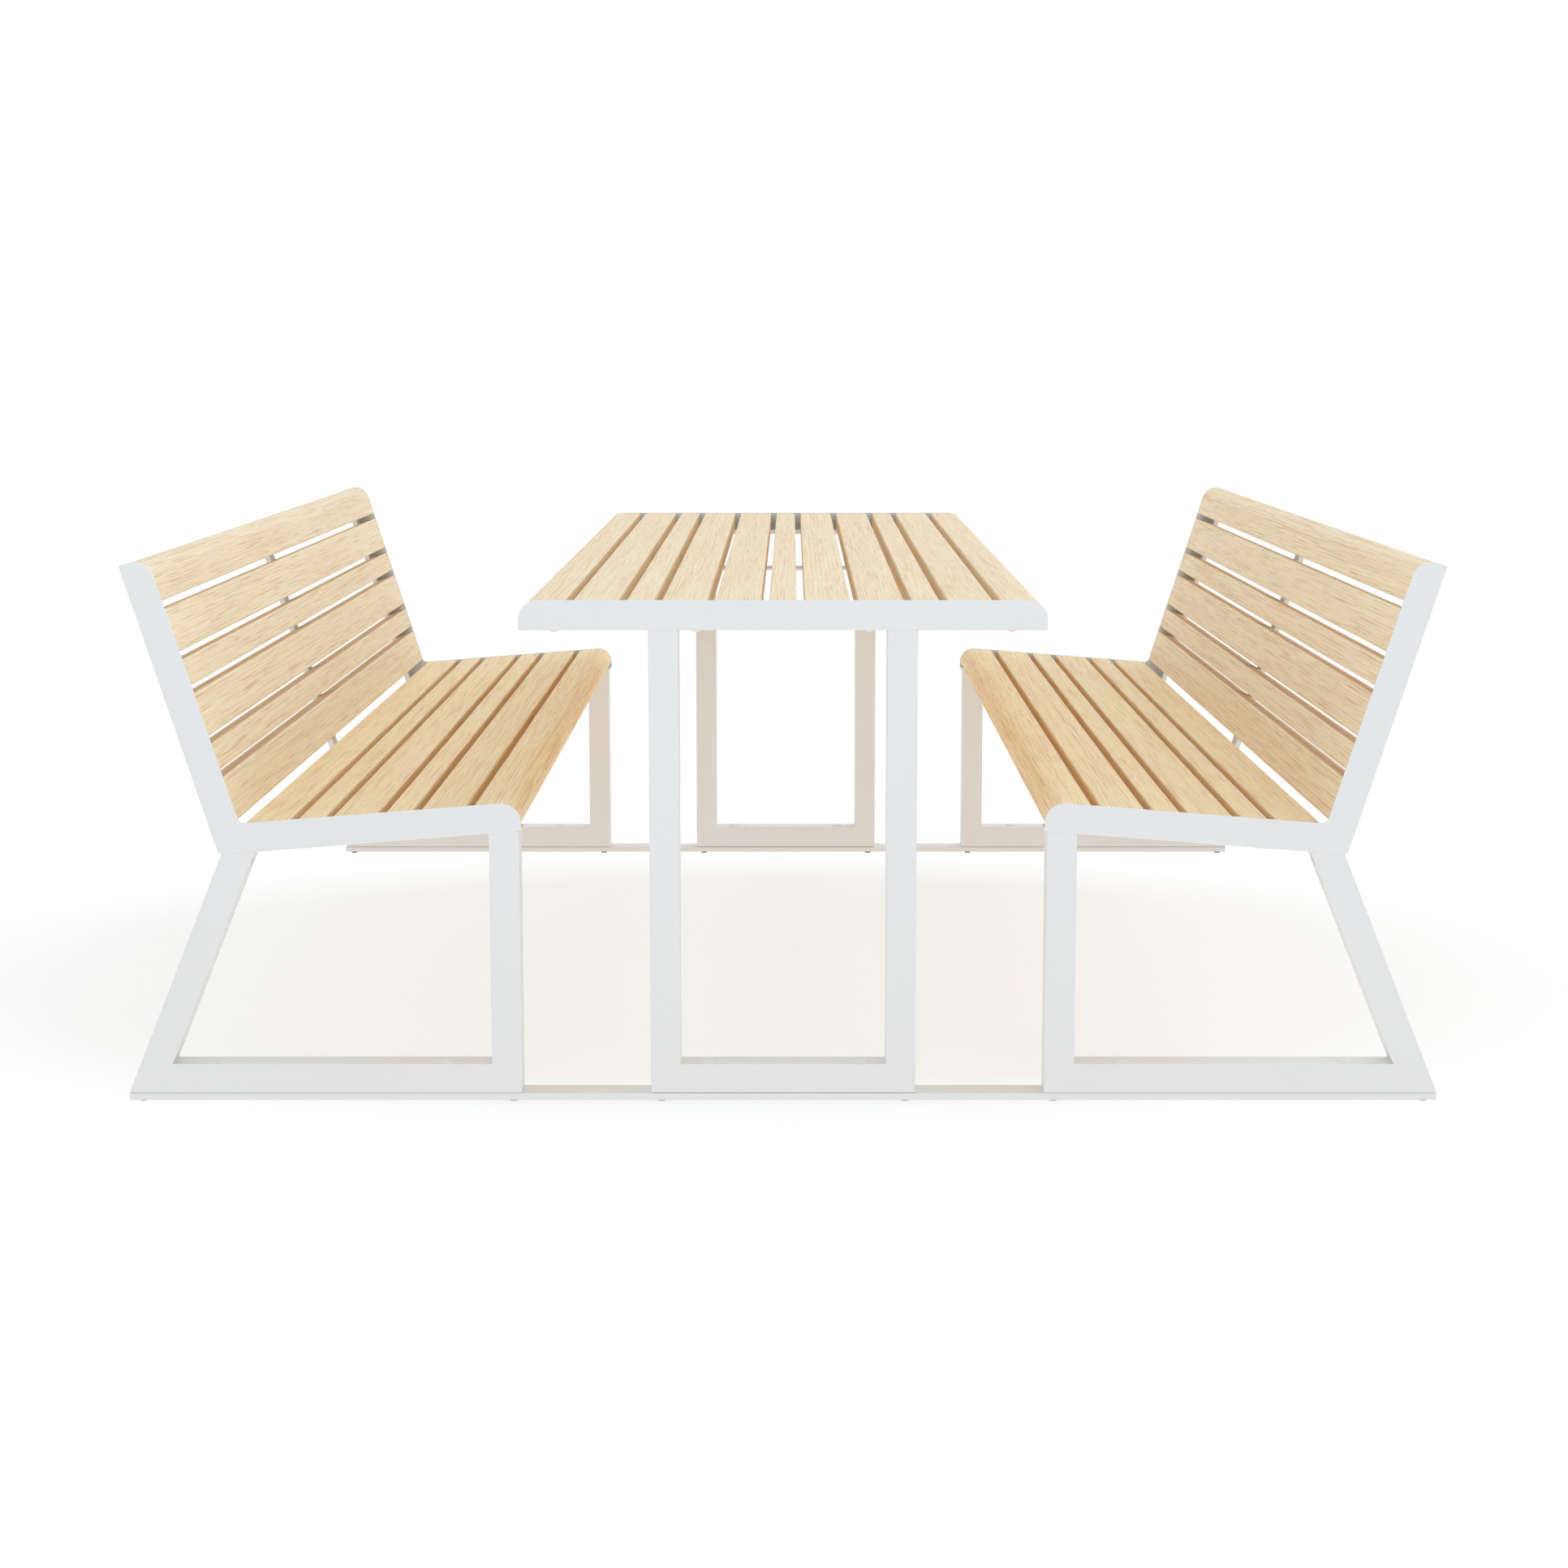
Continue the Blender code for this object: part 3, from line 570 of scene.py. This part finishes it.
def dress_nodes():
    """Gives every solid its finish."""
    coat = coat_material("white powder coat")
    rail_coat = rail_material("white powder coat over feet")
    index = 0
    slats = set()
    for names, timber, lean in slat_rows():
        for name in names:
            index += 1
            low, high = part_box(name)
            own_timber = {**timber, **SLAT_CHANGES.get(name.partition("_")[2], {})}
            wear(name, timber_material("timber " + name, own_timber, (low + high) / 2, lean, index))
            slats.add(name)
    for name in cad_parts:
        if name not in slats:
            wear(name, rail_coat if name.startswith("base_rail") else coat)
    return coat


def wear(name, material):
    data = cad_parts[name].data
    data.materials.clear()
    data.materials.append(material)


# Bolts, screws and seams

def finished_mesh(name, work, sharp_angle, coat):
    """Mesh from the working shape, with its normals out, soft curves, sharp edges and the coat."""
    bmesh.ops.recalc_face_normals(work, faces=work.faces)
    mesh = bpy.data.meshes.new(name)
    work.to_mesh(mesh)
    work.free()
    mesh.shade_smooth()
    mesh.set_sharp_from_angle(angle=sharp_angle)
    mesh.materials.append(coat)
    return mesh


def dome_profile(radius, height, rim):
    """Half profile of a low round head with a straight rim under its dome, as (radius, height) points."""
    turns = [pi / 2 * i / DOME_STEPS for i in range(DOME_STEPS)]
    arc = [(radius * cos(turn), rim + (height - rim) * sin(turn)) for turn in turns]
    return [(0.0, 0.0), (radius, 0.0)] + arc + [(0.0, height)]


def head_mesh(name, coat, head):
    """Closed round head, turned round Z from its half profile."""
    work = bmesh.new()
    points = [work.verts.new((radius, 0.0, height)) for radius, height in dome_profile(**head)]
    edges = [work.edges.new(pair) for pair in zip(points, points[1:])]
    bmesh.ops.spin(work, geom=points + edges, axis=(0, 0, 1), cent=(0, 0, 0), angle=2 * pi,
                   steps=ROUND_STEPS, use_duplicate=False)
    bmesh.ops.remove_doubles(work, verts=work.verts, dist=MERGE_DISTANCE)
    return finished_mesh(name, work, HEAD_SHARP_ANGLE, coat)


def new_piece(name, mesh):
    piece = bpy.data.objects.new(name, mesh)
    bpy.context.scene.collection.objects.link(piece)
    return piece


def fix_piece(piece):
    """Fixes a piece of coated steel to the set, in the place where it stands."""
    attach(piece, "root")


def place_head(name, mesh, place, out):
    """Sets a head on a face, with its top pointing out of it."""
    head = new_piece(name, mesh)
    head.rotation_mode = "QUATERNION"
    head.rotation_quaternion = Vector(out).to_track_quat("Z", "Y")
    head.location = place
    fix_piece(head)


def end_y(sign, inset):
    return sign * (SET_LENGTH / 2 - inset)


def add_head_rows(label, mesh, inset, distances, height, out):
    """Heads at both ends of the set, on both sides of its middle."""
    for end, sign in ENDS:
        for i, distance in enumerate(distances):
            for side, mirror in SIDES:
                place = (mirror * distance, end_y(sign, inset), height)
                place_head(f"{label}_{end}_{side}_{i + 1}", mesh, place, out)


def add_tube_bolts(coat):
    """Low bolt heads on the cross tubes, which hold the frames down on the rails."""
    mesh = head_mesh("tube_bolt_head", coat, TUBE_BOLT_HEAD)
    add_head_rows("tube_bolt", mesh, TUBE_BOLT_IN, TUBE_BOLT_OUT, CROSS_TUBE_TOP, UP)


def add_flange_bolts(coat):
    """Button heads under the table plates' flanges."""
    mesh = head_mesh("flange_bolt_head", coat, FLANGE_BOLT_HEAD)
    add_head_rows("flange_bolt", mesh, FLANGE_BOLT_IN, FLANGE_BOLT_OUT, TABLE_FLANGE_BOTTOM, DOWN)


def bench_rows():
    """Each bench's seat and back: a point under the first slat, the way along it and the way below it."""
    ways = {
        "seat": ((cos(SEAT_TILT), sin(SEAT_TILT)), (sin(SEAT_TILT), -cos(SEAT_TILT))),
        "back": ((-sin(BACK_TILT), cos(BACK_TILT)), (-cos(BACK_TILT), -sin(BACK_TILT))),
    }
    for side, sign in SIDES:
        for row, ((along_x, along_z), (out_x, out_z)) in ways.items():
            low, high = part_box(f"{side}_{row}_slat_1")
            middle = (low + high) / 2
            along = Vector((-sign * along_x, 0.0, along_z))
            out = Vector((-sign * out_x, 0.0, out_z))
            yield side, row, Vector((middle.x, 0.0, middle.z)) + out * UNDER_SLAT_MIDDLE, along, out


def add_bench_bolts(coat):
    """Button heads under the seats' flanges and behind the backs' flanges."""
    mesh = head_mesh("bench_bolt_head", coat, BENCH_BOLT_HEAD)
    for side, row, start, along, out in bench_rows():
        for end, sign in ENDS:
            for i, step in enumerate(BENCH_BOLT_STEPS[row]):
                place = start + along * step + Vector((0.0, end_y(sign, FLANGE_BOLT_IN), 0.0))
                place_head(f"{side}_{row}_bolt_{end}_{i + 1}", mesh, place, out)


def add_screws(coat):
    """Screw heads below the slats, in the table's middle bar and in the benches' middle supports."""
    mesh = head_mesh("screw_head", coat, SCREW_HEAD)
    for i in range(1, TABLE_SLATS + 1):
        low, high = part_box(f"table_slat_{i:02d}")
        place_head(f"table_screw_{i:02d}", mesh, ((low.x + high.x) / 2, 0.0, MIDDLE_BAR_BOTTOM), DOWN)
    for side, row, start, along, out in bench_rows():
        for i, step in enumerate(BENCH_SLAT_STEPS):
            place_head(f"{side}_{row}_screw_{i + 1}", mesh, start + along * step, out)


def seam_mesh(name, start, end, inward, coat):
    """Weld bead along a leg's top: a rounded strip that fills the fold and tapers at its ends."""
    length = (end - start).length
    along = (end - start).normalized()
    up = Vector((-along.z, 0.0, along.x)) * (1.0 if along.x > 0 else -1.0)
    stations = ((0.0, SEAM_END_SIZE), (SEAM_TAPER, 1.0), (length - SEAM_TAPER, 1.0), (length, SEAM_END_SIZE))
    work = bmesh.new()
    rings = []
    for at, size in stations:
        ring = []
        for depth, rise in SEAM_SECTION:
            inside = inward * (SEAM_CORE + (depth - SEAM_CORE) * size)
            ring.append(work.verts.new(start + along * at + inside + up * SEAM_RISE * rise * size))
        rings.append(ring)
    for near, far in zip(rings, rings[1:]):
        for i in range(len(SEAM_SECTION)):
            j = (i + 1) % len(SEAM_SECTION)
            work.faces.new((near[i], near[j], far[j], far[i]))
    work.faces.new(rings[0])
    work.faces.new(rings[-1])
    return finished_mesh(name, work, SEAM_SHARP_ANGLE, coat)


def add_seams(coat):
    """Weld seams where the legs meet the folded plates, on the outside of both ends."""
    for end, sign in ENDS:
        y = end_y(sign, LEG_FACE_IN)
        inward = Vector((0.0, -sign, 0.0))
        for label, ((near_x, near_z), (far_x, far_z)) in SEAM_RUNS.items():
            for side, mirror in SIDES:
                name = f"seam_{label}_{side}_{end}"
                near = Vector((mirror * near_x, y, near_z))
                far = Vector((mirror * far_x, y, far_z))
                fix_piece(new_piece(name, seam_mesh(name, near, far, inward, coat)))


# Studio

def matt(tree, colour):
    return add_node(tree, "ShaderNodeBsdfDiffuse", {"Color": four(colour)}).outputs[0]


def glow(tree, colour):
    return add_node(tree, "ShaderNodeEmission", {"Color": four(colour)}).outputs[0]


def both(tree, first, second):
    return add_node(tree, "ShaderNodeAddShader", {0: first, 1: second}).outputs[0]


def one_or_other(tree, factor, first, second):
    return add_node(tree, "ShaderNodeMixShader", {0: factor, 1: first, 2: second}).outputs[0]


def seen_by_camera(tree):
    """1 for rays from the camera and for rays off gloss or through glass."""
    path = add_node(tree, "ShaderNodeLightPath").outputs
    seen = plus(tree, path["Is Camera Ray"], path["Is Glossy Ray"], clamp=True)
    return plus(tree, seen, path["Is Transmission Ray"], clamp=True)


def floor_material():
    """White floor that keeps a faint part of the object's shadow and runs out to plain white round it."""
    material = bpy.data.materials.new("studio floor")
    material.use_nodes = True
    tree = material.node_tree
    tree.nodes.remove(tree.nodes["Principled BSDF"])
    lighting = both(tree, matt(tree, FLOOR_BOUNCE), glow(tree, FLOOR_GLOW))
    shaded = both(tree, glow(tree, FLOOR_OWN_LIGHT), matt(tree, FLOOR_SHADED))
    from_middle = vector_maths(tree, "SUBTRACT", object_place(tree), SHADOW_MIDDLE)
    spread = vector_maths(tree, "MULTIPLY", from_middle, SHADOW_SPREAD)
    distance = add_node(tree, "ShaderNodeVectorMath", {0: spread}, operation="LENGTH").outputs["Value"]
    shown = one_or_other(tree, ranged(tree, distance, *SHADOW_FADE), shaded, glow(tree, WHITE))
    surface = one_or_other(tree, seen_by_camera(tree), lighting, shown)
    tree.links.new(surface, tree.nodes["Material Output"].inputs["Surface"])
    return material


def add_floor():
    work = bmesh.new()
    bmesh.ops.create_grid(work, x_segments=1, y_segments=1, size=FLOOR_HALF_WIDTH)
    mesh = bpy.data.meshes.new("studio_floor")
    work.to_mesh(mesh)
    work.free()
    mesh.materials.append(floor_material())
    floor = bpy.data.objects.new("studio_floor", mesh)
    floor.location = (0.0, 0.0, -FLOOR_DROP)
    bpy.context.scene.collection.objects.link(floor)


def set_world():
    """Soft light that is strongest from the two sides; the camera and gloss see plain white."""
    world = bpy.data.worlds.new("studio")
    bpy.context.scene.world = world
    world.use_nodes = True
    tree = world.node_tree
    tree.nodes.remove(tree.nodes["Background"])
    direction = add_node(tree, "ShaderNodeTexCoord").outputs["Generated"]
    sideways = maths(tree, "ABSOLUTE", part(tree, direction, "X"))
    colour = mixed(tree, sideways, four(SKY_AHEAD), four(SKY_SIDES))
    lighting = add_node(tree, "ShaderNodeBackground", {"Color": colour}).outputs[0]
    shown = add_node(tree, "ShaderNodeBackground", {"Color": four(WHITE)}).outputs[0]
    surface = one_or_other(tree, seen_by_camera(tree), lighting, shown)
    tree.links.new(surface, tree.nodes["World Output"].inputs["Surface"])


def place_lamp(name, data, place, aim):
    lamp = bpy.data.objects.new(name, data)
    lamp.location = place
    lamp.rotation_mode = "QUATERNION"
    lamp.rotation_quaternion = Vector(aim).to_track_quat("-Z", "Y")
    lamp.visible_camera = False
    bpy.context.scene.collection.objects.link(lamp)


def add_far_light(name, towards, spread, strength):
    """Light from far away, softened by the angle that it fills."""
    data = bpy.data.lights.new(name, "SUN")
    data.angle = spread
    data.energy = strength
    place_lamp(name, data, towards, -Vector(towards))


def add_soft_box(name, place, width, power):
    """Round soft box that faces the middle of the set."""
    data = bpy.data.lights.new(name, "AREA")
    data.shape = "DISK"
    data.size = width
    data.energy = power
    place_lamp(name, data, place, Vector(SOFT_BOX_AIM) - Vector(place))


def add_studio():
    add_floor()
    set_world()
    for name, light in FAR_LIGHTS.items():
        add_far_light(name, *light)
    for name, box in SOFT_BOXES.items():
        add_soft_box(name, *box)
    bpy.context.scene.view_settings.view_transform = "Standard"


def add_camera():
    data = bpy.data.cameras.new("camera")
    data.lens = CAMERA_LENS
    data.sensor_width = CAMERA_FILM
    data.shift_x, data.shift_y = CAMERA_SHIFT
    camera = bpy.data.objects.new("camera", data)
    camera.location = CAMERA_PLACE
    camera.rotation_euler = (CAMERA_TILT, 0.0, 0.0)
    bpy.context.scene.collection.objects.link(camera)
    bpy.context.scene.camera = camera


add_camera()
add_studio()
coat_finish = dress_nodes()
add_tube_bolts(coat_finish)
add_flange_bolts(coat_finish)
add_bench_bolts(coat_finish)
add_screws(coat_finish)
add_seams(coat_finish)
